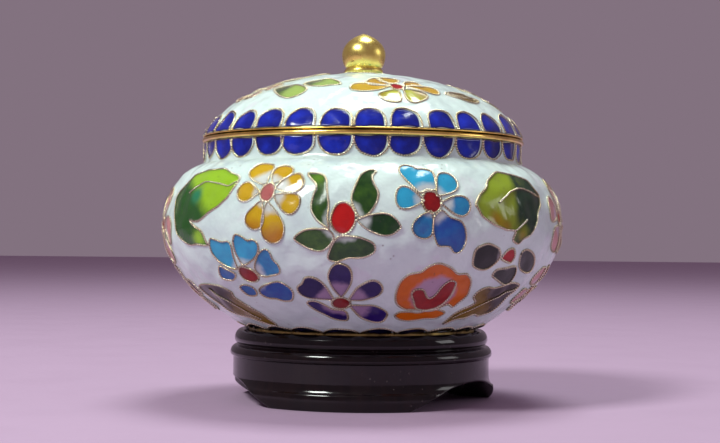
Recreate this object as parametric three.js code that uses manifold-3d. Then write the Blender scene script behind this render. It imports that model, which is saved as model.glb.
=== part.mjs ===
// A covered box of cloisonne enamel on its own stand: a squat copper bowl and a domed lid, both enamelled
// inside and out, with gilt brass rings at the lid's edge, the mouth and the foot, a turned brass knob
// riveted through the lid, and a lacquered wooden stand on three bracket feet.
// Millimetres, +Z up. The origin is the centre of the stand's underside, and the front faces -Y.
import * as THREE from "three";
import { mergeVertices } from "three/addons/utils/BufferGeometryUtils.js";
import Module from "manifold-3d";

// ---- driving dimensions -------------------------------------------------------------------------------

const roundSides = 56; // sides of every large turned piece
const knobSides = 24;
const archCutterSides = 44;
const seat = 0.3; // gap between two pieces that rest on each other

const bellyRadius = 55; // the bowl's widest, which sets the object's width
const bellyHeight = 47.2;
const neckRadius = 43.7;
const neckBase = 64.6; // where the shoulder turns up into the neck
const wall = 2.0; // copper with enamel on both faces

const recessFloor = 16.8;
const recessRadius = 32.1;
const plateUnderside = 12.3;
const skirtInside = 29.0;

const footRadius = 31.3; // brass ring under the bowl
const footWidth = 2.2;
const footHeight = 2.8;

const ringRadius = 44.7; // the brass rings stand a little proud of neck and lid
const mouthRingHeight = 1.2;
const lidRingHeight = 0.5;

const lidSpan = 45.2; // half axes of the lid's outer ellipse
const lidRise = 22.3;
const knobRadius = 6.05;
const stemRadius = 1.6;

// ---- heights that follow ------------------------------------------------------------------------------

const footBase = recessFloor + seat;
const bowlBase = footBase + footHeight + seat;
const mouth = 70.1; // top of the bowl's enamelled wall
const mouthRingBase = mouth + seat;
const lidRingBase = mouthRingBase + mouthRingHeight + seat;
const lidBase = lidRingBase + lidRingHeight + seat;
const lidCentre = 67.7; // height of the centre of the lid's ellipse
const lidTop = lidCentre + lidRise;
const knobBase = lidTop + seat;

// ---- materials ----------------------------------------------------------------------------------------

const whiteEnamel = new THREE.MeshStandardMaterial({ color: 0xeef3ee, roughness: 0.2, metalness: 0 });
const giltBrass = new THREE.MeshStandardMaterial({ color: 0xd9a93c, roughness: 0.28, metalness: 1 });
const blackLacquer = new THREE.MeshStandardMaterial({ color: 0x0d0a0c, roughness: 0.12, metalness: 0 });

// ---- making ---------------------------------------------------------------------------------------------

const manifold = await Module();
manifold.setup();

// A solid of revolution about +Z from a profile of (radius, height) points.
function turned(profile, sides) {
  return new THREE.LatheGeometry(profile, sides).rotateX(Math.PI / 2);
}

// A closed geometry as a solid that can be cut.
function solidOf(geometry) {
  const bare = geometry.clone();
  bare.deleteAttribute("normal");
  bare.deleteAttribute("uv");
  const merged = mergeVertices(bare, 1e-4);
  return new manifold.Manifold(
    new manifold.Mesh({
      numProp: 3,
      vertProperties: merged.attributes.position.array,
      triVerts: new Uint32Array(merged.index.array),
    }),
  );
}

function geometryOf(solid) {
  const mesh = solid.getMesh();
  return new THREE.BufferGeometry()
    .setAttribute("position", new THREE.BufferAttribute(mesh.vertProperties, 3))
    .setIndex(new THREE.BufferAttribute(mesh.triVerts, 1));
}

// Points of a cubic curve between two ends, without its first point.
function sweep(from, fromPull, toPull, to, steps) {
  const ends = [from, fromPull, toPull, to].map(([r, z]) => new THREE.Vector2(r, z));
  return new THREE.CubicBezierCurve(...ends).getPoints(steps).slice(1);
}

// Points of an elliptical arc, angles in degrees from the outward direction.
function arc(centre, halfAxes, startDeg, endDeg, steps) {
  const points = [];
  for (let i = 0; i <= steps; i++) {
    const a = THREE.MathUtils.degToRad(startDeg + ((endDeg - startDeg) * i) / steps);
    const r = centre[0] + halfAxes[0] * Math.cos(a);
    const z = centre[1] + halfAxes[1] * Math.sin(a);
    points.push(new THREE.Vector2(r, z));
  }
  return points;
}

const at = (r, z) => new THREE.Vector2(r, z);

const box = new THREE.Group();

function place(name, geometry, material) {
  const mesh = new THREE.Mesh(geometry, material);
  mesh.name = name;
  box.add(mesh);
}

// ---- stand: turned mouldings over a skirt that three arches cut into bracket feet ---------------------

const bandRadius = 35.5;
const lipRadius = 36.9;
const frontFootDeg = -10; // middle of the broad front foot, from the front towards +X
const archCentresDeg = [68.5, 180, -68.5].map((deg) => frontFootDeg + deg);
const archRise = 6.5;
const archHalfWidth = 22.5;

// A roll whose fullest part lies below its middle, from its crest down to the groove under it.
function roll(centre, width, rise, drop, crestDeg) {
  const above = arc(centre, [width, rise], crestDeg, 0, 3);
  const below = arc(centre, [width, drop], 0, -58, 2);
  return [...above, ...below.slice(1)];
}

function standGeometry() {
  const topRoll = roll([33.2, 16.7], 1.9, 2.7, 1.6, 122);
  const secondRoll = roll([34.6, 12.9], 1.7, 2.1, 1.1, 92);
  const profile = [
    at(0, plateUnderside),
    at(skirtInside, plateUnderside),
    at(skirtInside, 0),
    at(lipRadius - 0.5, 0),
    at(lipRadius, 2.4),
    at(lipRadius - 0.2, 4.3),
    ...sweep([lipRadius - 0.2, 4.3], [bandRadius + 0.5, 4.9], [bandRadius, 5.8], [bandRadius, 7.2], 3),
    at(bandRadius, 11.7),
    ...secondRoll.reverse(),
    ...topRoll.reverse(),
    at(recessRadius, recessFloor),
    at(0, recessFloor),
  ];
  let stand = solidOf(turned(profile, roundSides));
  // Each arch is the top of a round cutter that runs outwards through the skirt.
  const cutterRadius = (archHalfWidth ** 2 + archRise ** 2) / (2 * archRise);
  const cutterLength = lipRadius - skirtInside + 14;
  for (const centreDeg of archCentresDeg) {
    const cutter = new THREE.CylinderGeometry(cutterRadius, cutterRadius, cutterLength, archCutterSides)
      .translate(0, -(skirtInside + lipRadius) / 2, 0)
      .translate(0, 0, archRise - cutterRadius)
      .rotateZ(THREE.MathUtils.degToRad(centreDeg));
    stand = stand.subtract(solidOf(cutter));
  }
  return geometryOf(stand);
}
place("stand", standGeometry(), blackLacquer);

// ---- bowl_foot: brass ring that stands in the stand's recess ------------------------------------------

place(
  "bowl_foot",
  turned(
    [
      at(footRadius - footWidth, footBase),
      at(footRadius, footBase),
      at(footRadius, footBase + footHeight),
      at(footRadius - footWidth, footBase + footHeight),
      at(footRadius - footWidth, footBase),
    ],
    roundSides,
  ),
  giltBrass,
);

// ---- bowl: thin open shell, widest below the middle of its height -------------------------------------

function bowlGeometry() {
  const floorRadius = footRadius - 1;
  const belly = [bellyRadius, bellyHeight];
  const bellyInside = [bellyRadius - wall, bellyHeight];
  const profile = [
    at(0, bowlBase),
    at(footRadius, bowlBase),
    ...sweep([footRadius, bowlBase], [43, 25], [bellyRadius, 36.5], belly, 7),
    ...sweep(belly, [bellyRadius, 55.5], [51.5, 61.8], [neckRadius + 0.6, neckBase], 5),
    at(neckRadius, neckBase + 1.4),
    at(neckRadius, mouth),
    at(neckRadius - wall, mouth),
    at(neckRadius - wall, neckBase),
    ...sweep([neckRadius - wall, neckBase], [49.5, 60.5], [bellyRadius - wall, 55], bellyInside, 4),
    ...sweep(bellyInside, [bellyRadius - wall, 37.5], [42, 27], [floorRadius, bowlBase + wall], 5),
    at(0, bowlBase + wall),
  ];
  return turned(profile, roundSides);
}
place("bowl", bowlGeometry(), whiteEnamel);

// ---- bowl_rim: brass ring at the mouth, with the upstanding collar that the lid drops over ------------

const collarRadius = 40.8;
const collarWidth = 0.9;
const collarHeight = 1.8;

function bowlRimGeometry() {
  const half = mouthRingHeight / 2;
  const bead = arc([ringRadius - 0.6, mouthRingBase + half], [0.6, half], -90, 90, 3);
  return turned(
    [
      at(collarRadius - collarWidth, mouthRingBase),
      ...bead,
      at(collarRadius, mouthRingBase + mouthRingHeight),
      at(collarRadius, mouthRingBase + mouthRingHeight + collarHeight),
      at(collarRadius - collarWidth, mouthRingBase + mouthRingHeight + collarHeight),
      at(collarRadius - collarWidth, mouthRingBase),
    ],
    roundSides,
  );
}
place("bowl_rim", bowlRimGeometry(), giltBrass);

// ---- lid_rim: thinner brass ring that closes on it ----------------------------------------------------

function lidRimGeometry() {
  const half = lidRingHeight / 2;
  const bead = arc([ringRadius - 0.6, lidRingBase + half], [0.4, half], -90, 90, 3);
  const inner = collarRadius + 0.5;
  const profile = [
    at(inner, lidRingBase),
    ...bead,
    at(inner, lidRingBase + lidRingHeight),
    at(inner, lidRingBase),
  ];
  return turned(profile, roundSides);
}
place("lid_rim", lidRimGeometry(), giltBrass);

// ---- lid: elliptical dome with a hole for the knob's stem ---------------------------------------------

function lidGeometry() {
  const hole = stemRadius + seat;
  const degAtRadius = (span, r) => THREE.MathUtils.radToDeg(Math.acos(r / span));
  const degAtHeight = (rise, z) => THREE.MathUtils.radToDeg(Math.asin((z - lidCentre) / rise));
  const span = lidSpan - wall;
  const rise = lidRise - wall;
  const centre = [0, lidCentre];
  const rimDeg = degAtHeight(lidRise, lidBase);
  const outside = arc(centre, [lidSpan, lidRise], rimDeg, degAtRadius(lidSpan, hole), 7);
  const inside = arc(centre, [span, rise], degAtRadius(span, hole), degAtHeight(rise, lidBase), 5);
  return turned([...outside, ...inside, outside[0]], roundSides);
}
place("lid", lidGeometry(), whiteEnamel);

// ---- knob: turned brass bud on a collar, with a stem riveted inside the lid ---------------------------

function knobGeometry() {
  const budHeight = knobBase + 5.2;
  const tip = budHeight + 6.1;
  const rivetTop = lidTop - wall - seat;
  const rivetRadius = 3.0;
  const equator = [knobRadius, budHeight];
  return turned(
    [
      at(0, rivetTop - 1.0),
      at(rivetRadius - 0.6, rivetTop - 1.0),
      at(rivetRadius, rivetTop - 0.4),
      at(rivetRadius, rivetTop),
      at(stemRadius, rivetTop),
      at(stemRadius, knobBase),
      at(5.0, knobBase),
      at(5.5, knobBase + 0.8),
      at(5.2, knobBase + 1.5),
      at(4.9, knobBase + 1.7),
      ...sweep([4.9, knobBase + 1.7], [5.6, knobBase + 2.2], [knobRadius, budHeight - 1.3], equator, 3),
      ...sweep(equator, [knobRadius, budHeight + 3.5], [2.6, tip - 0.7], [0, tip], 6),
    ],
    knobSides,
  );
}
place("knob", knobGeometry(), giltBrass);

export default box;
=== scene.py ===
# A covered box in cloisonne enamel: a squat copper bowl and a domed lid with brass rings and a brass knob,
# on a lacquered stand. Sizes are in millimetres and are scaled to metres as each mesh is made.
# +Z is up, the front faces -Y, and a "turn" is an angle from the front towards +X.
import math

import bmesh
import bpy
import numpy as np
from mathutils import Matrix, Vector, kdtree
from mathutils.geometry import delaunay_2d_cdt


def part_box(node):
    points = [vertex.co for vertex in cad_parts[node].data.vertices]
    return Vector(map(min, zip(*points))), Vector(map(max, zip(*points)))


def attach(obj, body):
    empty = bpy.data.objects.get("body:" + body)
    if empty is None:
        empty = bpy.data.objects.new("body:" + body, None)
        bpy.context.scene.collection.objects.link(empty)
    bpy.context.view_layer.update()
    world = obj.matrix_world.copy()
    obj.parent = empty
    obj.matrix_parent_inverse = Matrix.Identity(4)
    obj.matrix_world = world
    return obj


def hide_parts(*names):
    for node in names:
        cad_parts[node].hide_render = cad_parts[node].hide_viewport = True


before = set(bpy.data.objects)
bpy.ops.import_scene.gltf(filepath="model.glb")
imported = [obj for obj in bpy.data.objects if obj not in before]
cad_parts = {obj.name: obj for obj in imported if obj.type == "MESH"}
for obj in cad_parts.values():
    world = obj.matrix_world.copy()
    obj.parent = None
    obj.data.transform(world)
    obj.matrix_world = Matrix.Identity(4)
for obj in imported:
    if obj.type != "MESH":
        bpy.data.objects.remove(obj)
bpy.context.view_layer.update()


# ---- Stand ---------------------------------------------------------------------------------------------
# Turned from a block of hardwood, with two rolls over a straight band and a flared lip. Three arches cut the
# hollow skirt into bracket feet. It is finished in many coats of black lacquer, rubbed and polished.

def sweep(start, start_pull, end_pull, end, steps):
    """Points of a cubic curve, with both its ends."""
    t = np.linspace(0.0, 1.0, steps + 1)[:, None]
    a, b, c, d = (np.array(p, float) for p in (start, start_pull, end_pull, end))
    return (1 - t) ** 3 * a + 3 * (1 - t) ** 2 * t * b + 3 * (1 - t) * t ** 2 * c + t ** 3 * d


def arc(centre, half_axes, start_deg, end_deg, steps):
    """Points of an elliptical arc. Angles run from the outward direction."""
    a = np.radians(np.linspace(start_deg, end_deg, steps + 1))
    return np.stack([centre[0] + half_axes[0] * np.cos(a), centre[1] + half_axes[1] * np.sin(a)], axis=1)


def eased(profile, ease):
    """The same profile with each sharp corner taken off on a short curve."""
    points = [np.array(p, float) for p in profile]
    out = [points[0]]
    for before, corner, after in zip(points, points[1:], points[2:]):
        back = before - corner
        ahead = after - corner
        back_length = np.hypot(*back)
        ahead_length = np.hypot(*ahead)
        bend = math.acos(np.clip(np.dot(-back, ahead) / (back_length * ahead_length), -1.0, 1.0))
        if bend < math.radians(24):
            out.append(corner)
            continue
        start = corner + back * min(ease / back_length, 0.45)
        end = corner + ahead * min(ease / ahead_length, 0.45)
        for t in (0.0, 0.25, 0.5, 0.75, 1.0):
            out.append((1 - t) ** 2 * start + 2 * t * (1 - t) * corner + t * t * end)
    out.append(points[-1])
    return np.array(out)


MM = 0.001
merge_distance = 0.002  # points nearer than this are one point


def placed(name, data):
    """An object at the origin that holds a mesh, a light or a camera."""
    piece = bpy.data.objects.new(name, data)
    bpy.context.collection.objects.link(piece)
    return piece


def mesh_piece(name, points, edges, faces):
    """A piece made of points in millimetres."""
    mesh = bpy.data.meshes.new(name)
    mesh.from_pydata((np.asarray(points) * MM).tolist(), edges, faces)
    return placed(name, mesh)


def skin(name, grid, closed=False):
    """A closed mesh over rows of points that run round the axis. The first and last rows meet on the axis,
    unless the rows close on each other."""
    rows, sides = grid.shape[:2]
    row, side = np.meshgrid(np.arange(rows if closed else rows - 1), np.arange(sides), indexing="ij")
    next_row = (row + 1) % rows
    next_side = (side + 1) % sides
    corners = ((row, side), (row, next_side), (next_row, next_side), (next_row, side))
    faces = np.stack([r * sides + s for r, s in corners], axis=-1).reshape(-1, 4)
    piece = mesh_piece(name, grid.reshape(-1, 3), [], faces.tolist())
    shell = bmesh.new()
    shell.from_mesh(piece.data)
    bmesh.ops.remove_doubles(shell, verts=shell.verts, dist=merge_distance * MM)
    bmesh.ops.recalc_face_normals(shell, faces=shell.faces)
    shell.to_mesh(piece.data)
    shell.free()
    piece.data.shade_smooth()
    return piece


def round_axis(radius, height, turn):
    """Points at a radius, a height and a turn from the front."""
    radius, height, turn = np.broadcast_arrays(radius, height, turn)
    return np.stack([radius * np.sin(turn), -radius * np.cos(turn), height], axis=-1)


def turns_round(sides):
    """Equal steps once round the axis."""
    return np.linspace(0.0, 2 * math.pi, sides, endpoint=False)


def lathed(profile, sides):
    """Rows of points that a profile of (radius, height) points makes once round the axis."""
    profile = np.array(profile, float).reshape(-1, 2)
    return round_axis(profile[:, :1], profile[:, 1:], turns_round(sides)[None, :])


def turned(name, profile, sides, closed=False):
    """A turned piece from its profile."""
    return skin(name, lathed(profile, sides), closed)


stand_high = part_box("stand")[1]
lip_radius = stand_high.x / MM
stand_top = stand_high.z / MM
band_radius = lip_radius - 1.4
band_base = 7.2  # height at which the straight band starts over the skirt
skirt_inside = lip_radius - 7.9
recess_radius = lip_radius - 4.8
recess_floor = stand_top - 2.6
plate_underside = recess_floor - 4.5
front_foot = -10.0
arch_turns = [math.radians(front_foot + turn) for turn in (68.5, 180.0, 291.5)]
arch_rise = 6.5
arch_half_width = 22.5
sole_ease = 0.4
plate_fillet = 0.6


def stand_stations():
    """Places round the skirt, each an (arch or foot, number, share across it). They are close together at
    the feet's corners."""
    spread = np.sin(np.radians(np.linspace(-90, 90, 33)[:-1]))
    stations = []
    for number in range(len(arch_turns)):
        stations += [("arch", number, share) for share in spread]
        stations += [("foot", number, share) for share in spread]
    return stations


def stand_turn(station, radius):
    """The turn of a station at one radius. An arch is cut square across, so its sides aren't radial."""
    part, number, share = station
    radius = max(radius, skirt_inside)
    arch_turn = arch_turns[number]
    if part == "arch":
        return arch_turn + math.asin(arch_half_width * share / radius)
    next_turn = (arch_turns + [arch_turns[0] + 2 * math.pi])[number + 1]
    half_foot = (next_turn - arch_turn) / 2 - math.asin(arch_half_width / radius)
    return (arch_turn + next_turn) / 2 + half_foot * share


def arch_height(station):
    """How high the skirt's lower edge is at a station."""
    if station[0] == "foot":
        return 0.0
    cutter_radius = (arch_half_width ** 2 + arch_rise ** 2) / (2 * arch_rise)
    return math.sqrt(cutter_radius ** 2 - (arch_half_width * station[2]) ** 2) + arch_rise - cutter_radius


def roll(centre, width, rise, drop, crest_deg):
    """A roll whose fullest part lies below its middle, from its crest down to the groove under it."""
    above = arc(centre, (width, rise), crest_deg, 0, 16)
    below = arc(centre, (width, drop), 0, -58, 9)
    return np.vstack([above, below[1:]])


def make_stand():
    """The stand, whose skirt is followed station by station and whose mouldings run on above it."""
    step = lip_radius - 0.2
    lip = np.vstack([
        sweep((lip_radius - 0.5, 0), (lip_radius - 0.1, 0.9), (lip_radius, 1.8), (lip_radius, 2.4), 8),
        sweep((lip_radius, 2.4), (lip_radius, 3.2), (step + 0.1, 4.1), (step, 4.3), 4)[1:],
        sweep((step - 0.3, 4.45), (band_radius + 0.4, 4.9), (band_radius, 5.8), (band_radius, band_base), 14),
    ])
    top_roll = roll((lip_radius - 3.7, stand_top - 2.7), 1.9, 2.7, 1.6, 122)
    second_roll = roll((lip_radius - 2.3, stand_top - 6.5), 1.7, 2.1, 1.1, 92)
    upper = np.vstack([
        [(band_radius, band_base), (band_radius, 9.4), (band_radius, stand_top - 7.7)],
        second_roll[::-1],
        top_roll[::-1],
        [(recess_radius, recess_floor), (recess_radius - 8, recess_floor), (0, recess_floor)],
    ])
    upper = eased(upper, 0.25)[1:]
    columns = []
    for station in stand_stations():
        edge = arch_height(station)
        heights = edge + sole_ease + (band_base - edge - sole_ease) * np.linspace(0, 1, 26)
        face = np.stack([np.interp(heights, lip[:, 1], lip[:, 0]), heights], axis=1)
        outer = face[0, 0]
        inner = skirt_inside
        corner = 0.3 * sole_ease
        sole = [(inner, edge + sole_ease), (inner + corner, edge + corner), (inner + sole_ease, edge)]
        sole += [(outer - sole_ease, edge), (outer - corner, edge + corner)]
        under = [(0, plate_underside), (inner - plate_fillet, plate_underside)]
        under += [(inner, plate_underside - plate_fillet)]
        column = np.vstack([under, sole, face, upper])
        turn = np.array([stand_turn(station, radius) for radius in column[:, 0]])
        columns.append(round_axis(column[:, 0], column[:, 1], turn))
    return skin("turned_stand", np.stack(columns, axis=1))


def add(tree, kind, inputs, **settings):
    """One shader node. Each input is given as a value or as another node's output."""
    node = tree.nodes.new(kind)
    for setting, value in settings.items():
        setattr(node, setting, value)
    for socket, value in inputs.items():
        if isinstance(value, bpy.types.NodeSocket):
            tree.links.new(value, node.inputs[socket])
        else:
            node.inputs[socket].default_value = value
    return node


def mixed(tree, share, first, second):
    """The colour between two others."""
    return add(tree, "ShaderNodeMix", {0: share, 6: first, 7: second}, data_type="RGBA").outputs[2]


def ranged(tree, value, low, high, to_low=0.0, to_high=1.0):
    """A value taken smoothly from one range to another."""
    limits = {"Value": value, "From Min": low, "From Max": high, "To Min": to_low, "To Max": to_high}
    return add(tree, "ShaderNodeMapRange", limits, interpolation_type="SMOOTHSTEP").outputs["Result"]


def maths(tree, operation, first, second=0.0):
    """One sum, product or other operation on two values."""
    return add(tree, "ShaderNodeMath", {0: first, 1: second}, operation=operation).outputs[0]


def kept_value(tree, name):
    """A value that is kept on the mesh under a name."""
    return add(tree, "ShaderNodeAttribute", {}, attribute_name=name).outputs["Fac"]


def noise(tree, place, scale, detail=2.0, roughness=0.5):
    """Noise from 0 to 1 over the surface."""
    inputs = {"Vector": place, "Scale": scale, "Detail": detail, "Roughness": roughness}
    return add(tree, "ShaderNodeTexNoise", inputs).outputs["Fac"]


def new_group(name, inputs, outputs):
    """An empty shader group with named inputs and outputs."""
    group = bpy.data.node_groups.new(name, "ShaderNodeTree")
    for socket_name, kind, value in inputs:
        group.interface.new_socket(socket_name, in_out="INPUT", socket_type=kind).default_value = value
    for socket_name, kind in outputs:
        group.interface.new_socket(socket_name, in_out="OUTPUT", socket_type=kind)
    entry = group.nodes.new("NodeGroupInput").outputs
    place = group.nodes.new("ShaderNodeTexCoord").outputs["Object"]
    return group, entry, place


def close_group(group, **results):
    """Leads the results out of a group."""
    add(group, "NodeGroupOutput", {name.replace("_", " "): result for name, result in results.items()})


def hand_finish():
    """Gloss that varies in patches, and a surface that isn't quite level, as polishing by hand leaves it."""
    inputs = [("Smoothest", "NodeSocketFloat", 0.1), ("Roughest", "NodeSocketFloat", 0.3)]
    inputs += [("Patch Scale", "NodeSocketFloat", 60.0), ("Ripple Scale", "NodeSocketFloat", 300.0)]
    inputs += [("Ripple Height", "NodeSocketFloat", 0.00002)]
    group, entry, place = new_group("Hand finish", inputs,
                                    [("Roughness", "NodeSocketFloat"), ("Normal", "NodeSocketVector")])
    patches = noise(group, place, entry["Patch Scale"], 4.0, 0.6)
    gloss = ranged(group, patches, 0.35, 0.68, entry["Smoothest"], entry["Roughest"])
    ripple = noise(group, place, entry["Ripple Scale"], 2.0)
    bump = add(group, "ShaderNodeBump", {"Height": ripple, "Distance": entry["Ripple Height"]})
    close_group(group, Roughness=gloss, Normal=bump.outputs["Normal"])
    return group


def pinholes():
    """A mask of scattered specks, thicker in some patches than in others."""
    inputs = [("Speck Scale", "NodeSocketFloat", 600.0), ("Speck Size", "NodeSocketFloat", 0.2)]
    inputs += [("Patch Scale", "NodeSocketFloat", 40.0), ("Patch Share", "NodeSocketFloat", 0.5)]
    group, entry, place = new_group("Pinholes", inputs, [("Mask", "NodeSocketFloat")])
    cells = add(group, "ShaderNodeTexVoronoi", {"Vector": place, "Scale": entry["Speck Scale"]})
    rim = maths(group, "MULTIPLY", entry["Speck Size"], 0.5)
    speck = ranged(group, cells.outputs["Distance"], rim, entry["Speck Size"], 1.0, 0.0)
    patch = noise(group, place, entry["Patch Scale"], 3.0)
    patch_start = maths(group, "SUBTRACT", 1.0, entry["Patch Share"])
    patch_end = maths(group, "ADD", patch_start, 0.12)
    thick = ranged(group, patch, patch_start, patch_end)
    close_group(group, Mask=maths(group, "MULTIPLY", speck, thick))
    return group


hand_finish_group = hand_finish()
pinhole_group = pinholes()


def new_material(name, **values):
    """A material with its shader's plain values set, its shader, and the place on the object."""
    material = bpy.data.materials.new(name)
    material.use_nodes = True
    tree = material.node_tree
    shader = tree.nodes["Principled BSDF"]
    for socket, value in values.items():
        shader.inputs[socket.replace("_", " ")].default_value = value
    place = tree.nodes.new("ShaderNodeTexCoord").outputs["Object"]
    return material, tree, shader, place


def use_group(tree, group, values):
    """A shader group placed in a material with its own values."""
    return add(tree, "ShaderNodeGroup", values, node_tree=group)


def apply_finish(tree, shader, values):
    """Feeds a shader's roughness and normal from the hand finish."""
    node = use_group(tree, hand_finish_group, values)
    tree.links.new(node.outputs["Roughness"], shader.inputs["Roughness"])
    tree.links.new(node.outputs["Normal"], shader.inputs["Normal"])


def fit(piece, material):
    """Gives a piece its material and its body."""
    piece.data.materials.append(material)
    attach(piece, "root")


def black_lacquer():
    """Black lacquer, very faintly streaked along the turning, with a little dust in it."""
    material, tree, shader, place = new_material("Black lacquer", IOR=1.42)
    grain = add(tree, "ShaderNodeMapping", {"Vector": place, "Scale": (1.0, 1.0, 0.12)}).outputs["Vector"]
    streak = noise(tree, grain, 500.0, 3.0)
    body = mixed(tree, ranged(tree, streak, 0.3, 0.7), (0.003, 0.0015, 0.002, 1), (0.008, 0.0035, 0.0035, 1))
    dust = use_group(tree, pinhole_group, {"Speck Scale": 500.0, "Speck Size": 0.13, "Patch Share": 0.56})
    share = maths(tree, "MULTIPLY", dust.outputs["Mask"], 0.35)
    tree.links.new(mixed(tree, share, body, (0.16, 0.14, 0.13, 1)), shader.inputs["Base Color"])
    apply_finish(tree, shader, {"Smoothest": 0.06, "Roughest": 0.2, "Patch Scale": 90.0,
                                "Ripple Scale": 150.0, "Ripple Height": 0.00008})
    return material


stand = make_stand()
fit(stand, black_lacquer())
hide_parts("stand")


# ---- Foot ring -----------------------------------------------------------------------------------------
# A plain brass strip bent into a ring and soldered under the bowl. It stands in the recess of the stand, so
# only its top edge shows, and its gilding is made rough there and painted dark brown as the recess's shade.

def gilt_brass(name, light, dark, smoothest, roughest):
    """Gilt brass, duller and browner in patches where the gilding has thinned."""
    material, tree, shader, place = new_material(name, Metallic=1.0)
    worn = ranged(tree, noise(tree, place, 150.0, 5.0, 0.65), 0.42, 0.7)
    tree.links.new(mixed(tree, worn, light, dark), shader.inputs["Base Color"])
    apply_finish(tree, shader, {"Smoothest": smoothest, "Roughest": roughest, "Patch Scale": 180.0,
                                "Ripple Scale": 420.0, "Ripple Height": 0.00004})
    return material


foot_low, foot_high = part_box("bowl_foot")
foot_radius = foot_high.x / MM
foot_base = foot_low.z / MM
foot_top = foot_high.z / MM
foot_inside = foot_radius - 2.2
foot_section = [(foot_inside, foot_base), (foot_radius, foot_base), (foot_radius, foot_top)]
foot_section += [(foot_inside, foot_top), (foot_inside, foot_base), (foot_radius, foot_base)]
foot_ring = turned("foot_ring", eased(foot_section, 0.3)[1:-1], sides=220, closed=True)
# Painted shade: the ring's gilt is darkened to brown and near black, for the shade in the stand's recess.
dull_shaded_gilt = gilt_brass("Dull shaded gilt brass", (0.60, 0.45, 0.15, 1), (0.08, 0.05, 0.02, 1), 0.26, 0.5)
fit(foot_ring, dull_shaded_gilt)
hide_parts("bowl_foot")


# ---- Bowl: the wall that the pattern is laid on --------------------------------------------------------
# The bowl is beaten from copper sheet. Wire is bent to the outlines of the flowers, soldered on, and each
# cell is filled with wet enamel and fired, which leaves every surface of glass a little lumpy.

bowl_low, bowl_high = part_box("bowl")
belly_radius = bowl_high.y / MM
solder = 0.25  # the enamel is carried over the solder to the rings
bowl_base = bowl_low.z / MM - solder
mouth = bowl_high.z / MM + solder
belly_height = bowl_base + 27.0 + solder
neck_radius = belly_radius - 11.3
neck_base = mouth - 5.5 - solder
wall_thickness = 2.0

lump_height = 0.11
lump_count = 34
lump_random = np.random.default_rng(11)
lump_ways = lump_random.normal(size=(lump_count, 3))
lump_ways /= np.linalg.norm(lump_ways, axis=1)[:, None]
lump_ways *= (2 * math.pi / lump_random.uniform(4.0, 14.0, lump_count))[:, None]
lump_starts = lump_random.uniform(0, 2 * math.pi, lump_count)


def lumps(points):
    """How far the fired glass stands above or below its true surface."""
    waves = np.sin(points @ lump_ways.T + lump_starts)
    return lump_height * waves.sum(axis=-1) / math.sqrt(lump_count / 2)


class Wall:
    """The outer face of a turned shell. A place on it is a turn and a run, which is measured along the wall
    from its lower edge."""

    def __init__(self, profile, domed=False):
        self.profile = np.array(profile)
        step = np.hypot(*np.diff(self.profile, axis=0).T)
        self.run = np.concatenate([[0.0], np.cumsum(step)])
        self.length = self.run[-1]
        slope = np.gradient(self.profile, self.run, axis=0)
        self.slope = slope / np.linalg.norm(slope, axis=1)[:, None]
        self.domed = domed

    def radius(self, run):
        """How far the wall is from the axis at a run."""
        return np.interp(run, self.run, self.profile[:, 0])

    def points(self, turn, run, lift=0.0):
        """Points on the fired surface, raised by the lift."""
        bare = round_axis(self.radius(run), np.interp(run, self.run, self.profile[:, 1]), turn)
        up = np.interp(run, self.run, self.slope[:, 1])
        out = np.interp(run, self.run, self.slope[:, 0])
        outward = round_axis(up, -out, turn)
        return bare + outward * (lumps(bare) + lift)[..., None]

    def spread(self, turn, run, across, up):
        """Turns and runs of points drawn flat round a motif's centre. A belly is followed row by row, and a
        dome is drawn as seen from above."""
        if not self.domed:
            runs = np.clip(run + up, 0.0, self.length)
            return turn + across / self.radius(runs), runs
        from_top = self.length - run - up
        reach = np.hypot(across, from_top)
        return turn + np.arctan2(across, from_top), self.length - reach


bowl_wall = Wall(np.vstack([
    sweep((foot_radius, bowl_base), (foot_radius + 11.7, bowl_base + 4.8),
          (belly_radius, belly_height - 10.7), (belly_radius, belly_height), 60),
    sweep((belly_radius, belly_height), (belly_radius, belly_height + 8.3),
          (belly_radius - 3.5, neck_base - 2.8), (neck_radius + 0.6, neck_base), 40)[1:],
    sweep((neck_radius + 0.6, neck_base), (neck_radius + 0.1, neck_base + 0.5),
          (neck_radius, neck_base + 1.0), (neck_radius, neck_base + 1.6), 6)[1:],
    [(neck_radius, mouth - 1.6), (neck_radius, mouth)],
]))


# ---- Bowl: drawing the cells ---------------------------------------------------------------------------
# The flowers and leaves are traditional ones, bent up in wire by hand. Each outline is in millimetres round
# its motif's centre, with its second number up the wall. A clock angle turns from straight up to the right.

wobble = 0.045  # how far a wire strays from its drawing
wobble_ways = lump_random.uniform(-1.1, 1.1, size=(8, 2))
wobble_starts = lump_random.uniform(0, 2 * math.pi, size=(2, 8))
motif_stride = 9.0  # a degree of turn moves a motif this far through the straying
wire_step = 0.4  # spacing of the points along a wire
wire_lift = 0.20  # height of a wire's middle above the wall
cell_step = 0.42  # spacing of the points round a cell, and of the rows of points in it
cell_row_step = 0.48  # spacing along a row
cell_edge_gap = 0.22  # the rows stop this far from the edge
cell_depth = 0.25  # how far the enamel is let into the wall


def spaced(outline, gap, closed=True):
    """The same outline with its points a regular distance apart."""
    points = np.array(outline, float)
    if closed:
        points = np.vstack([points, points[:1]])
    length = np.concatenate([[0.0], np.cumsum(np.hypot(*np.diff(points, axis=0).T))])
    count = max(6, round(length[-1] / gap))
    places = np.linspace(0.0, length[-1], count, endpoint=not closed)
    return np.stack([np.interp(places, length, points[:, k]) for k in (0, 1)], axis=1)


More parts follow.
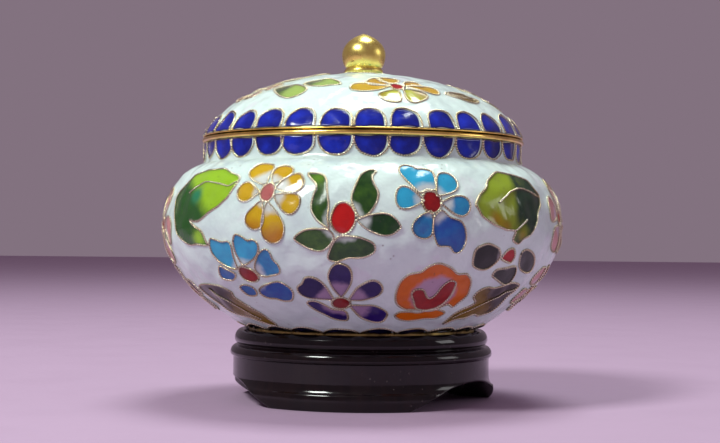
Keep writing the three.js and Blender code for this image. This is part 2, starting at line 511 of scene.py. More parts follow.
def smooth(points, closed=True):
    """A smooth line through a few points."""
    points = np.array(points, float)
    if closed:
        padded = np.vstack([points[-1:], points, points[:2]])
    else:
        padded = np.vstack([2 * points[:1] - points[1:2], points, 2 * points[-1:] - points[-2:-1]])
    t = np.linspace(0.0, 1.0, 8, endpoint=False)[:, None]
    parts = []
    for a, b, c, d in zip(padded, padded[1:], padded[2:], padded[3:]):
        parts.append(0.5 * (2 * b + (c - a) * t + (2 * a - 5 * b + 4 * c - d) * t ** 2
                            + (3 * b - a - 3 * c + d) * t ** 3))
    if not closed:
        parts.append(points[-1:])
    return np.vstack(parts)


def drawn(points, **look):
    """A cell with a free outline through a few points."""
    return dict(outline=smooth(points), **look)


def clock_way(clock):
    """The flat direction of a clock angle."""
    return np.array([math.sin(math.radians(clock)), math.cos(math.radians(clock))])


def petal(clock, reach, width, start=2.2, full=0.62, notch=0.0, base=0.25, tip=0.0, bend=0.0, **look):
    """A petal or leaf that points away from its motif's centre. Full is where it is widest, notch dents its
    end, base and tip narrow its two ends, and bend bows it sideways."""
    angle = np.linspace(0.0, 2 * math.pi, 72, endpoint=False)
    along = ((1 - np.cos(angle)) / 2) ** (math.log(full) / math.log(0.5))
    half = np.sin(angle) * along ** base * (1 - along) ** tip
    half /= np.abs(half).max()
    along = along - notch * np.exp(-(half / 0.45) ** 2) * along ** 6
    ahead = clock_way(clock)
    aside = np.array([ahead[1], -ahead[0]])
    distance = start + (reach - start) * along
    offset = half * width / 2 + bend * 4 * along * (1 - along)
    return dict(outline=distance[:, None] * ahead + offset[:, None] * aside, **look)


def heart(width, height, lean=0.0, **look):
    """The round middle of a flower."""
    angle = np.linspace(0.0, 2 * math.pi, 48, endpoint=False)
    across = width / 2 * np.cos(angle)
    up = height / 2 * np.sin(angle)
    lean = math.radians(lean)
    outline = np.stack([across * math.cos(lean) + up * math.sin(lean),
                        up * math.cos(lean) - across * math.sin(lean)], axis=1)
    return dict(outline=outline, **look)


def inside(points, outline):
    """Which points lie within an outline."""
    x, y = points[:, :1], points[:, 1:]
    x0, y0 = outline[:, 0], outline[:, 1]
    x1, y1 = np.roll(x0, -1), np.roll(y0, -1)
    crosses = (y0 > y) != (y1 > y)
    rise = np.where(y1 == y0, 1e-9, y1 - y0)
    left = x < (x1 - x0) * (y - y0) / rise + x0
    return (crosses & left).sum(axis=1) % 2 == 1


def edge_distance(points, outline):
    """How far points are from an outline's line."""
    start = outline[None]
    along = np.roll(outline, -1, axis=0)[None] - start
    share = ((points[:, None] - start) * along).sum(-1) / np.maximum((along ** 2).sum(-1), 1e-12)
    nearest = start + along * np.clip(share, 0, 1)[..., None]
    return np.linalg.norm(points[:, None] - nearest, axis=-1).min(axis=1)


def filled(edge):
    """Points and triangles that fill an outline, on rows that are staggered like bricks."""
    low, high = edge.min(axis=0), edge.max(axis=0)
    across = np.arange(low[0], high[0], cell_row_step)
    up = np.arange(low[1], high[1], cell_step)
    grid = np.stack(np.meshgrid(across, up), -1)
    grid[1::2, :, 0] += cell_row_step / 2
    grid = grid.reshape(-1, 2)
    grid = grid[inside(grid, edge)]
    grid = grid[edge_distance(grid, edge) > cell_edge_gap] if len(grid) else grid
    ring = [(i, (i + 1) % len(edge)) for i in range(len(edge))]
    made = delaunay_2d_cdt([Vector(p) for p in np.vstack([edge, grid])], ring, [], 1, 1e-5)
    return np.array([tuple(p) for p in made[0]]), np.array(made[2])


def slab_faces(top, count):
    """Faces of a closed slab, from the triangles of its top. The points of its underside follow those of the
    top."""
    sides = {(a, b) for tri in top.tolist() for a, b in zip(tri, tri[1:] + tri[:1])}
    start, end = np.array([(a, b) for a, b in sorted(sides) if (b, a) not in sides]).T
    wall_start = np.stack([end, start, start + count], axis=1)
    wall_end = np.stack([end, start + count, end + count], axis=1)
    return np.vstack([top, top[:, ::-1] + count, wall_start, wall_end])


def blots(flat, marks):
    """How strongly soft round marks show at flat points. Each mark is an (across, up, size, strength)."""
    total = np.zeros(len(flat))
    for across, up, size, strength in marks:
        total += strength * np.exp(-((flat - (across, up)) ** 2).sum(axis=1) / size ** 2)
    return total


class Pattern:
    """The cloisons of one wall: its wires, and the enamel in its cells, sorted by colour."""

    def __init__(self, wall):
        self.wall = wall
        self.wires = {}
        self.cells = {}

    def lay(self, turn, run, flat):
        """Turns and runs of flat points, moved a little as a hand would leave them."""
        here = flat + np.array([turn * motif_stride, run])
        wave = here @ wobble_ways.T
        nudge = np.stack([np.sin(wave + starts).sum(axis=1) for starts in wobble_starts], axis=1)
        moved = flat + wobble * nudge
        return self.wall.spread(math.radians(turn), run, moved[:, 0], moved[:, 1])

    def wire(self, row, turn, run, outline, closed=True):
        """A wire along an outline."""
        turns, runs = self.lay(turn, run, spaced(outline, wire_step, closed))
        line = self.wall.points(turns, runs, wire_lift)
        self.wires.setdefault(row, []).append((line, closed))

    def rib(self, row, turn, run, points):
        """An open wire through a few points, such as a leaf's midrib."""
        self.wire(row, turn, run, smooth(points, False), closed=False)

    def cell(self, turn, run, colour, outline, tone=0.5, pale=0.0, shade=None, spots=(), accents=(),
             margin=0.16, rise=0.10, brim=0.10):
        """The enamel in one cell, as a thin slab let into the wall. Tone goes from deep to bright, and pale
        is how far from the motif's centre the glass stays pale. Shade is a clock angle with the two distances
        between which the tone goes from deep to bright. Spots are brighter marks, and accents are marks of
        the enamel's third colour. Margin is how far short of the wire the colour stops, rise is the slab's
        height, and brim is how far it creeps up the wire."""
        edge = spaced(outline, cell_step)
        flat, top = filled(edge)
        distance = edge_distance(flat, edge)
        turns, runs = self.lay(turn, run, flat)
        upper = self.wall.points(turns, runs, rise + brim * np.exp(-distance / 0.45))
        lower = self.wall.points(turns, runs, -cell_depth)
        tones = np.full(len(flat), tone)
        if shade:
            clock, deep_end, bright_end = shade
            tones = np.clip((flat @ clock_way(clock) - deep_end) / (bright_end - deep_end), 0.0, 1.0)
        tones = np.clip(tones + blots(flat, spots), 0.0, 1.0)
        paleness = np.zeros(len(flat))
        if pale:
            paleness = np.clip((pale - np.hypot(*flat.T)) / 3.4 + 0.5, 0.0, 1.0)
        if margin:
            aside = flat + (0.6 * margin, 0.0)
            reach = np.where(inside(aside, edge), edge_distance(aside, edge), 0.0)
            paleness = np.maximum(paleness, 0.9 * np.clip(1.3 - reach / margin, 0.0, 1.0))
        # The rim value, nearness to the wire, becomes painted wire shade in the glass shader.
        looks = np.stack([tones, paleness, np.exp(-distance / 0.35), blots(flat, accents)], axis=1)
        slab = (np.vstack([upper, lower]), slab_faces(top, len(flat)), np.vstack([looks, looks]))
        self.cells.setdefault(colour, []).append(slab)

    def draw(self, row, turn, run, colour, shapes):
        """Cells of one colour with wires round them."""
        for shape in shapes:
            self.wire(row, turn, run, shape["outline"])
            self.cell(turn, run, colour, **shape)


def keep_values(mesh, name, values):
    """Keeps a value for each point on a mesh, under a name."""
    mesh.attributes.new(name, "FLOAT", "POINT").data.foreach_set("value", values)


def enamel_pieces(pattern, prefix):
    """One piece for each colour of a pattern, with its tone, paleness, nearness to the wire and accents."""
    pieces = {}
    for colour, cells in pattern.cells.items():
        offsets = np.cumsum([0] + [len(points) for points, _, _ in cells])
        points = np.vstack([cell[0] for cell in cells])
        faces = np.vstack([cell[1] + offset for cell, offset in zip(cells, offsets)])
        looks = np.vstack([cell[2] for cell in cells])
        pieces[colour] = mesh_piece(f"{prefix}_{colour}_enamel", points, [], faces.tolist())
        for look, values in zip(("tone", "pale", "rim", "accent"), looks.T):
            keep_values(pieces[colour].data, look, values)
        pieces[colour].data.shade_smooth()
    return pieces


# ---- Bowl: bands of scallops ---------------------------------------------------------------------------
# Overlapping scales hang from the mouth in cobalt, and stand on the foot in cobalt painted nearly black for
# the shade under the belly. The blue doesn't quite fill the wires: a crescent of the ground is left on each
# scallop's right side.

bowl_pattern = Pattern(bowl_wall)
hand_random = np.random.default_rng(5)


def scallop_band(pattern, row, count, first, run, half_width, height, colour="cobalt"):
    """A band of scallops along one edge of the wall. First is the turn of one of them, and a negative height
    hangs them down."""
    for number in range(count):
        turn = first + 360.0 * number / count + hand_random.uniform(-0.6, 0.6)
        reach = height * hand_random.uniform(0.94, 1.07)
        angle = np.linspace(0.0, math.pi, 33)
        bow = np.stack([half_width * np.cos(angle), reach * np.sin(angle) ** 0.82], axis=1)
        pattern.wire(row, turn, run, bow, closed=False)
        gap = 0.22 * hand_random.uniform(0.7, 1.5)
        fill_reach = reach - math.copysign(0.3, reach)
        across = (half_width - 0.2 - gap) * np.cos(angle) - gap
        fill = np.stack([across, fill_reach * np.sin(angle) ** 0.74], axis=1)
        pattern.cell(turn, run, colour, fill, tone=hand_random.uniform(0.2, 0.5), margin=0.0, brim=0.03,
                     spots=[(-0.4 * half_width, 0.5 * reach, 2.0, 0.35)])


scallop_band(bowl_pattern, "bands", count=30, first=2.6, run=bowl_wall.length - 0.1, half_width=4.55,
             height=-5.1)
scallop_band(bowl_pattern, "bands", count=22, first=7.5, run=0.1, half_width=4.4, height=3.5, colour="shaded_cobalt")


# ---- Bowl: the upper row of flowers and leaves ---------------------------------------------------------
# They are spaced round the belly at its widest, and each has its own colours: a leaf in two greens, a yellow
# flower, a red bud among green leaves, a turquoise flower, and a second leaf.

bowl_pattern.draw("upper", -50, 43, "leaf", [
    drawn([(11.5, 8.3), (12.4, 6.5), (11.1, 2.4), (9.3, 0.9), (5.0, -1.7), (0.7, -3.9), (-3.7, -3.5),
           (-2.0, -4.6), (1.8, -6.5), (3.1, -8.9), (3.5, -10.0), (-0.1, -9.8), (-3.5, -10.1), (-7.2, -9.2),
           (-11.2, -6.8), (-12.6, -3.3), (-13.7, 1.0), (-13.3, 4.0), (-10.7, 6.5), (-8.5, 9.0),
           (-4.8, 10.6), (-0.9, 10.9), (3.7, 11.0), (8.2, 9.5)],
          shade=(40, -1.5, 3.5), spots=[(0.5, -8.2, 2.6, 0.9), (-6.5, 8.5, 3.0, 0.3)],
          accents=[(-2.2, 2.9, 2.6, 0.9)]),
])
bowl_pattern.rib("upper", -50, 43, [(-6.5, 3.4), (-4.6, 4.6), (-2.9, 5.7), (0.4, 6.5), (3.2, 6.5), (6.6, 5.9),
                                    (9.7, 5.4), (12.0, 6.6)])

bowl_pattern.draw("upper", -25.8, 46.3, "yellow", [
    petal(-30, 10.6, 7.0, pale=6.6, tone=0.9),
    petal(22, 9.0, 5.2, pale=4.8, tone=0.7),
    petal(67, 9.6, 5.2, pale=6.0, tone=0.8),
    petal(113, 9.7, 5.4, pale=4.8, tone=0.9),
    petal(166, 12.9, 6.4, pale=5.5, shade=(-10, -11.5, -6.5)),
    petal(204, 9.9, 5.4, pale=4.0, shade=(20, -10.5, -5.5)),
    petal(273, 9.0, 5.2, pale=4.2, tone=0.8),
])
bowl_pattern.draw("upper", -25.8, 46.3, "pink", [heart(4.2, 4.7, tone=0.3)])

bowl_pattern.draw("upper", -4.8, 40, "green", [
    drawn([(-9.3, 11.5), (-6.9, 12.1), (-5.3, 11.4), (-4.3, 9.1), (-4.0, 6.0), (-3.85, 3.0), (-3.7, 0.2),
           (-3.35, -2.3), (-5.2, -1.5), (-6.8, -0.3), (-7.9, 2.0), (-7.6, 5.5), (-7.0, 8.2)],
          pale=4.6, tone=0.2, spots=[(-6.5, 10.5, 2.5, 0.3)]),
    drawn([(7.3, 12.6), (5.6, 13.2), (3.8, 11.3), (2.4, 8.2), (2.0, 5.0), (2.6, 2.3), (4.0, 0.2), (6.2, 1.2),
           (7.9, 3.6), (8.4, 6.3), (7.3, 8.8), (6.7, 10.8)], pale=4.8, tone=0.15),
    petal(98.6, 14.1, 5.4, start=3.2, tip=0.3, pale=6.6, tone=0.05),
    drawn([(-3.85, -9.8), (-1.9, -10.9), (1.2, -10.1), (4.9, -9.6), (7.3, -8.2), (7.3, -6.2), (5.1, -5.0),
           (3.1, -4.4), (-0.2, -4.2), (-1.6, -5.0), (-3.0, -7.0)], pale=5.6, tone=0.15),
    drawn([(-12.3, -5.2), (-10.6, -3.6), (-8.3, -2.7), (-5.4, -2.7), (-3.3, -2.9), (-2.2, -5.0), (-4.4, -7.7),
           (-6.7, -8.3), (-9.6, -7.1)], pale=5.6, tone=0.2),
])
bowl_pattern.draw("upper", -4.8, 40, "red", [heart(5.9, 7.7, tone=0.85)])

bowl_pattern.draw("upper", 18.3, 44.3, "blue", [
    drawn([(-7.1, 8.5), (-5.5, 10.8), (-3.5, 10.6), (-2.4, 9.6), (-0.45, 9.3), (1.5, 8.3), (1.5, 5.7),
           (1.2, 3.2), (-0.9, 3.0), (-2.8, 2.1), (-4.7, 3.9), (-6.4, 6.2)], pale=5.0, tone=1.0),
    petal(42, 9.8, 5.8, pale=4.5, tone=0.95),
    petal(97, 10.3, 5.0, pale=5.6, tone=0.55),
    drawn([(0.2, -3.8), (0.3, -7.3), (1.0, -10.1), (2.2, -11.0), (4.5, -10.7), (6.0, -12.3), (7.6, -12.1),
           (8.9, -10.1), (8.8, -7.0), (7.4, -4.7), (4.5, -3.8), (2.4, -2.4)], pale=5.4, tone=0.2),
    petal(201, 9.6, 5.7, pale=3.8, tone=0.45),
    petal(277, 9.3, 5.8, pale=4.4, tone=0.95),
])
bowl_pattern.draw("upper", 18.3, 44.3, "red", [heart(5.1, 5.5, tone=0.35)])

bowl_pattern.draw("upper", 45, 44.5, "late_leaf", [
    drawn([(-13.2, -0.6), (-11.6, 1.4), (-9.4, 3.2), (-6.3, 6.2), (-2.0, 9.0), (0.2, 9.1), (5.4, 8.4),
           (9.4, 7.0), (11.1, 4.7), (13.0, 2.4), (12.7, 0.8), (12.2, -0.9), (10.2, -2.9), (9.1, -5.2),
           (7.2, -7.6), (3.7, -9.0), (1.7, -10.4), (-0.7, -9.5), (-0.3, -7.3), (-1.6, -7.0), (-3.8, -7.1),
           (-6.0, -6.3), (-8.4, -5.4), (-11.2, -3.7), (-12.4, -1.9)], shade=(280, -2.5, 0.5),
          spots=[(3.2, -7.6, 2.6, 0.75), (5.6, 6.6, 2.2, 0.25), (9.6, -0.5, 1.6, 0.2)],
          accents=[(-7.0, -4.2, 2.6, 0.8), (-3.4, -6.2, 2.0, 0.7), (2.8, -8.2, 2.0, 0.6)]),
])
bowl_pattern.rib("upper", 45, 44.5, [(-0.3, -7.0), (1.9, -5.8), (4.3, -4.5)])
bowl_pattern.rib("upper", 45, 44.5, [(-5.8, -0.1), (-3.4, 1.3), (-0.6, 2.9), (2.5, 3.8), (4.9, 3.9),
                                     (8.4, 3.2), (12.6, 1.8)])


def plain_flower(pattern, row, turn, run, colour, reach=9.6, petals=5, first=0.0):
    """A flower of equal petals. A yellow one has a pink middle, and the others have a red one."""
    shapes = []
    for number in range(petals):
        clock = first + 360.0 * number / petals + hand_random.uniform(-6, 6)
        shapes.append(petal(clock, reach * hand_random.uniform(0.92, 1.08), reach * 3.4 / petals,
                            pale=reach * 0.52, tone=hand_random.uniform(0.5, 0.95)))
    pattern.draw(row, turn, run, colour, shapes)
    pattern.draw(row, turn, run, "pink" if colour == "yellow" else "red", [heart(4.4, 4.8, tone=0.6)])


def plain_leaf(pattern, row, turn, run, colour, clock, length=12.0):
    """A leaf in two tones with a midrib."""
    blade = petal(clock, length, length * 0.72, start=-length, full=0.48, base=0.35, tip=0.25, bend=1.2,
                  shade=(clock + 90, -2.0, 2.0))
    pattern.draw(row, turn, run, colour, [blade])
    share = np.linspace(-1, 1, 7)[:, None]
    bow = 1.6 * (1 - share ** 2)
    pattern.rib(row, turn, run, 0.85 * length * share * clock_way(clock) + bow * clock_way(clock + 90))


plain_flower(bowl_pattern, "upper", 74, 41, "pink", reach=10.5)
plain_flower(bowl_pattern, "upper", -77, 38, "pink", reach=11.0, first=20)
for turn, colour in [(101, "yellow"), (152, "blue"), (203, "violet"), (254, "orange")]:
    plain_flower(bowl_pattern, "upper", turn, 45, colour, petals=6, first=turn)
for turn, clock in [(127, 60), (178, 285), (229, 75)]:
    plain_leaf(bowl_pattern, "upper", turn, 44, "green", clock)


# ---- Bowl: the lower row of flowers and leaves ---------------------------------------------------------
# They fill the gaps under the upper row: a blue flower, a violet one, an orange poppy, a dark trefoil, and
# brown leaves between them.

bowl_pattern.draw("lower", -34, 25, "blue", [
    drawn([(-10.2, 9.6), (-7.9, 9.4), (-5.8, 8.9), (-3.7, 9.1), (-2.8, 7.9), (-2.9, 5.2), (-3.2, 1.5),
           (-7.2, 2.6), (-9.5, 4.3), (-10.6, 6.7)], pale=4.9, tone=0.85),
    drawn([(-1.9, 9.2), (-0.8, 10.6), (1.0, 10.2), (2.7, 9.2), (4.1, 9.5), (5.5, 8.7), (5.2, 6.9),
           (3.1, 4.5), (0.2, 3.0), (-1.1, 4.7), (-1.9, 6.6)], pale=4.4, tone=0.7),
    drawn([(5.1, 6.1), (7.3, 7.0), (8.5, 6.1), (8.6, 4.3), (9.7, 2.6), (9.3, 0.6), (6.6, -0.4), (3.9, -0.5),
           (2.8, 1.6), (3.8, 4.2)], pale=5.0, tone=0.5),
    drawn([(1.4, -4.6), (5.3, -2.7), (8.4, -2.2), (10.3, -3.5), (10.6, -5.9), (8.9, -8.4), (6.8, -8.7),
           (4.8, -8.0), (2.7, -8.1), (1.1, -7.0)], pale=5.0, tone=0.15),
    drawn([(-4.9, -4.0), (-1.9, -3.6), (-0.1, -4.5), (-0.5, -6.7), (-3.3, -7.3), (-4.6, -5.9)],
          pale=3.4, tone=0.3),
    drawn([(-9.4, 2.1), (-7.4, 1.4), (-4.2, -0.1), (-6.1, -2.0), (-9.1, -1.6), (-10.1, 0.1)],
          pale=4.6, tone=0.3),
])
bowl_pattern.draw("lower", -34, 25, "red", [heart(6.0, 4.6, lean=30, tone=0.4)])

bowl_pattern.draw("lower", -6.5, 15.7, "violet", [
    petal(3, 12.8, 6.0, pale=7.2, tone=0.3),
    petal(-54, 12.4, 6.8, notch=0.08, pale=6.4, tone=0.2),
    petal(57, 12.2, 5.6, pale=7.0, tone=0.3),
    petal(120, 12.4, 6.6, pale=7.4, tone=0.5),
    drawn([(-8.6, -0.1), (-7.5, 0.8), (-5.3, 0.1), (-2.2, -2.4), (0.4, -3.0), (1.3, -5.2), (1.0, -7.4),
           (-0.7, -7.8), (-2.4, -6.9), (-4.3, -5.1), (-6.6, -3.1)], pale=5.0, tone=0.4),
])
bowl_pattern.draw("lower", -6.5, 15.7, "red", [heart(4.6, 4.4, tone=0.3)])

bowl_pattern.draw("lower", 22.5, 19, "orange", [
    drawn([(-10.0, 0.5), (-10.0, 4.0), (-8.4, 6.5), (-5.5, 7.2), (-3.8, 9.0), (-0.9, 9.8), (2.1, 8.9),
           (4.5, 7.0), (7.5, 6.7), (9.7, 4.0), (10.1, 0.3), (9.0, -2.7), (7.3, -4.7), (5.3, -3.7),
           (1.9, -6.3), (-1.9, -6.0), (-5.6, -5.5), (-8.3, -3.5)], pale=6.0, tone=0.7),
    drawn([(-7.6, -8.4), (-6.8, -6.7), (-4.8, -6.5), (-1.8, -7.1), (1.1, -5.8), (4.2, -6.0), (6.1, -7.7),
           (4.4, -9.3), (1.4, -9.8), (-1.0, -10.2), (-3.4, -10.9), (-5.7, -10.4)], tone=0.9),
])
bowl_pattern.draw("lower", 22.5, 19, "red", [
    drawn([(-4.9, 2.1), (-3.3, 1.7), (-1.8, -0.6), (-0.6, -1.4), (0.6, -0.2), (1.5, 3.0), (3.4, 4.7),
           (5.2, 3.8), (5.0, 0.0), (4.3, -3.0), (2.3, -5.4), (-0.4, -6.0), (-2.9, -5.4), (-4.5, -3.0),
           (-5.9, 0.5)], tone=0.45, rise=0.16),
])

bowl_pattern.draw("lower", 44.3, 31, "dark", [
    drawn([(-12.4, -0.4), (-11.9, 1.7), (-9.1, 3.0), (-5.6, 2.3), (-4.0, 0.9), (-3.6, -0.9), (-6.1, -3.8),
           (-8.9, -4.1), (-11.4, -2.8)], pale=4.2, tone=0.3),
    drawn([(4.0, 0.4), (6.2, 1.5), (9.4, 1.0), (11.9, -1.3), (12.3, -4.3), (9.5, -4.9), (6.0, -3.3)],
          pale=4.0, tone=0.45),
    drawn([(-3.4, -6.0), (-3.3, -4.3), (-1.2, -3.5), (2.7, -3.1), (4.8, -3.4), (5.6, -6.1), (5.2, -8.4),
           (2.9, -8.8), (-0.6, -7.4)], pale=3.4, tone=0.4),
])
bowl_pattern.draw("lower", 44.3, 31, "red", [
    drawn([(-2.7, -0.7), (-1.3, 1.2), (0.8, 1.8), (2.0, -0.4), (1.0, -2.0), (-1.6, -1.4)], tone=0.7),
])

bowl_pattern.draw("lower", -51, 13, "brown", [
    drawn([(-10.8, 7.0), (-7.5, 8.0), (-2.5, 7.9), (2.1, 7.6), (4.1, 6.0), (3.6, 3.8), (5.6, 1.0),
           (7.2, -2.0), (7.8, -5.5), (8.0, -8.0), (6.5, -8.8), (4.5, -7.2), (2.0, -5.4), (-1.4, -4.5),
           (-4.6, -2.5), (-7.5, 0.5), (-10.3, 4.0)], shade=(135, -4.0, 2.0)),
])
bowl_pattern.rib("lower", -51, 13, [(-5.4, 6.5), (-1.5, 3.0), (1.8, -1.0), (5.3, -5.5)])
bowl_pattern.draw("lower", 46, 15, "brown", [
    drawn([(-8.1, -6.8), (-7.2, -8.6), (-5.6, -7.0), (-2.7, -6.0), (0.3, -4.8), (3.1, -5.5), (5.4, -3.7),
           (6.9, -0.5), (7.9, 3.0), (9.6, 6.3), (6.9, 7.6), (3.0, 7.2), (-0.8, 6.2), (-3.8, 6.4), (-6.1, 5.3),
           (-6.5, 3.0), (-4.3, 0.8), (-6.3, -1.7), (-7.7, -4.0)], shade=(225, -3.5, 1.0)),
])
bowl_pattern.rib("lower", 46, 15, [(8.9, 6.0), (4.1, 3.5), (-0.4, 0.5), (-4.3, -3.0), (-6.9, -5.5)])

plain_flower(bowl_pattern, "lower", 73, 20, "pink", reach=9.0, first=30)
plain_flower(bowl_pattern, "lower", -77, 18, "violet", reach=8.5)
for turn, colour in [(108, "blue"), (160, "orange"), (214, "yellow"), (262, "pink")]:
    plain_flower(bowl_pattern, "lower", turn, 22, colour, reach=9.0, first=turn)
for turn, clock in [(134, 115), (187, 250), (238, 105)]:
    plain_leaf(bowl_pattern, "lower", turn, 20, "brown", clock, 9.5)


# ---- Bowl: enamel in the cells -------------------------------------------------------------------------
# Glass powder fired in each cell. It is deeper or brighter from place to place, streaked where two colours
# were laid side by side, milky near the flowers' hearts, and pitted with burst bubbles.

def fired_glass():
    """Colour of the enamel in the cells, from its tone, accents and paleness, darkened near the wire by
    painted shade of the wire.
    """
    inputs = [("Deep", "NodeSocketColor", (0, 0, 0, 1)), ("Bright", "NodeSocketColor", (1, 1, 1, 1))]
    inputs += [("Milky", "NodeSocketColor", (1, 1, 1, 1)), ("Accent", "NodeSocketColor", (1, 1, 1, 1))]
    inputs += [("Streak", "NodeSocketFloat", 0.4)]
    group, entry, place = new_group("Fired glass", inputs, [("Color", "NodeSocketColor")])
    streak = maths(group, "SUBTRACT", noise(group, place, 420.0, 4.0, 0.6), 0.5)
    shift = maths(group, "MULTIPLY", streak, entry["Streak"])
    shifted = maths(group, "ADD", kept_value(group, "tone"), maths(group, "MULTIPLY", shift, 2.0))
    body = mixed(group, ranged(group, shifted, 0.0, 1.0), entry["Deep"], entry["Bright"])
    body = mixed(group, ranged(group, kept_value(group, "accent"), 0.1, 0.9), body, entry["Accent"])
    cloud = maths(group, "SUBTRACT", noise(group, place, 560.0, 3.0), 0.5)
    milk = maths(group, "ADD", kept_value(group, "pale"), maths(group, "MULTIPLY", cloud, 0.45))
    body = mixed(group, ranged(group, milk, 0.22, 0.80, 0.0, 0.94), body, entry["Milky"])
    # Painted shade: the glass is darkened beside the wires, where their shadow falls.
    edge = maths(group, "MULTIPLY", kept_value(group, "rim"), 0.55)
    painted_wire_shadow = mixed(group, 0.5, entry["Deep"], (0.02, 0.015, 0.01, 1))
    close_group(group, Color=mixed(group, edge, body, painted_wire_shadow))
    return group


fired_glass_group = fired_glass()


def cell_enamel(name, deep, bright, milky=(0.60, 0.66, 0.64), accent=(0.5, 0.5, 0.5), streak=0.3):
    """Glossy enamel of one family of colours."""
    material, tree, shader, _ = new_material(f"{name} enamel", IOR=1.5)
    values = {"Deep": (*deep, 1), "Bright": (*bright, 1), "Milky": (*milky, 1), "Accent": (*accent, 1),
              "Streak": streak}
    body = use_group(tree, fired_glass_group, values).outputs["Color"]
    pits = use_group(tree, pinhole_group, {"Speck Scale": 700.0, "Speck Size": 0.16, "Patch Scale": 140.0,
                                           "Patch Share": 0.5})
    share = maths(tree, "MULTIPLY", pits.outputs["Mask"], 0.6)
    tree.links.new(mixed(tree, share, body, (0.05, 0.04, 0.035, 1)), shader.inputs["Base Color"])
    apply_finish(tree, shader, {"Smoothest": 0.08, "Roughest": 0.24, "Patch Scale": 220.0,
                                "Ripple Scale": 520.0, "Ripple Height": 0.00009})
    return material


cell_materials = {
    # Painted shade: the foot's scallops are cobalt darkened nearly to black, for the shade under the belly.
    "shaded_cobalt": cell_enamel("Shaded cobalt", (0.002, 0.002, 0.010), (0.006, 0.006, 0.05), streak=0.35),
    "cobalt": cell_enamel("Cobalt", (0.003, 0.007, 0.15), (0.010, 0.032, 0.52), streak=0.4),
    "yellow": cell_enamel("Yellow", (0.38, 0.15, 0.008), (0.58, 0.37, 0.012)),
    "pink": cell_enamel("Pink", (0.42, 0.10, 0.09), (0.56, 0.26, 0.25), (0.58, 0.44, 0.50)),
    "green": cell_enamel("Green", (0.008, 0.040, 0.010), (0.20, 0.42, 0.02), streak=0.2),
    "lid_leaf": cell_enamel("Lid leaf", (0.05, 0.09, 0.03), (0.32, 0.46, 0.10), streak=0.4),
    "leaf": cell_enamel("Leaf", (0.018, 0.090, 0.014), (0.28, 0.50, 0.02), accent=(0.02, 0.20, 0.09),
                        streak=0.25),
    "late_leaf": cell_enamel("Late leaf", (0.010, 0.040, 0.016), (0.26, 0.36, 0.02),
                             accent=(0.32, 0.20, 0.005), streak=0.3),
    "red": cell_enamel("Red", (0.14, 0.006, 0.008), (0.50, 0.010, 0.008)),
    "blue": cell_enamel("Blue", (0.02, 0.07, 0.34), (0.03, 0.36, 0.58)),
    "lime": cell_enamel("Lime", (0.30, 0.20, 0.008), (0.42, 0.44, 0.03), streak=0.3),
    "violet": cell_enamel("Violet", (0.012, 0.004, 0.07), (0.035, 0.012, 0.19), (0.36, 0.24, 0.38)),
    "orange": cell_enamel("Orange", (0.46, 0.055, 0.003), (0.66, 0.15, 0.005), (0.42, 0.30, 0.42)),
    "dark": cell_enamel("Dark green", (0.003, 0.005, 0.004), (0.016, 0.024, 0.012), (0.46, 0.42, 0.42)),
    "brown": cell_enamel("Brown", (0.020, 0.008, 0.010), (0.21, 0.13, 0.014), streak=0.4),
}


def fit_cells(pattern, prefix):
    """Makes and fits the enamel in a pattern's cells."""
    for colour, piece in enamel_pieces(pattern, prefix).items():
        fit(piece, cell_materials[colour])


fit_cells(bowl_pattern, "bowl")


# ---- Bowl: ground --------------------------------------------------------------------------------------
# White enamel over the copper, between the motifs, and a turquoise counter enamel inside and underneath. It
# creeps up the wires, and is greyer and dirtier beside them.

def wire_places(pattern):
    """A search tree of all points along a pattern's wires."""
    points = np.vstack([line for lines in pattern.wires.values() for line, _ in lines])
    places = kdtree.KDTree(len(points))
    for number, point in enumerate(points):
        places.insert(point, number)
    places.balance()
    return places


def ground_piece(name, pattern, runs, sides, before, after, closed=False):
    """The fired wall with its lining. Before and after are the profile's parts below and inside the wall."""
    outside = pattern.wall.points(*np.broadcast_arrays(turns_round(sides)[None, :], runs[:, None]))
    piece = skin(name, np.concatenate([lathed(before, sides), outside, lathed(after, sides)]), closed)
    mesh = piece.data
    count = len(mesh.vertices)
    points = np.empty(count * 3)
    normals = np.empty(count * 3)
    mesh.vertices.foreach_get("co", points)
    mesh.vertices.foreach_get("normal", normals)
    points = points.reshape(-1, 3) / MM
    normals = normals.reshape(-1, 3)
    places = wire_places(pattern)
    distance = np.array([places.find(point)[2] for point in points])
    near = np.clip((np.exp(-distance / 0.8) - 0.1) / 0.9, 0.0, 1.0)
    outer_radius = np.interp(points[:, 2], pattern.wall.profile[:, 1], pattern.wall.profile[:, 0])
    lining = (np.hypot(points[:, 0], points[:, 1]) < outer_radius - 1.3).astype(float)
    near *= 1 - lining
    points += normals * (0.15 * near)[:, None]
    mesh.vertices.foreach_set("co", (points * MM).ravel())
    keep_values(mesh, "near_wire", near)
    keep_values(mesh, "lining", lining)
    mesh.update()
    return piece


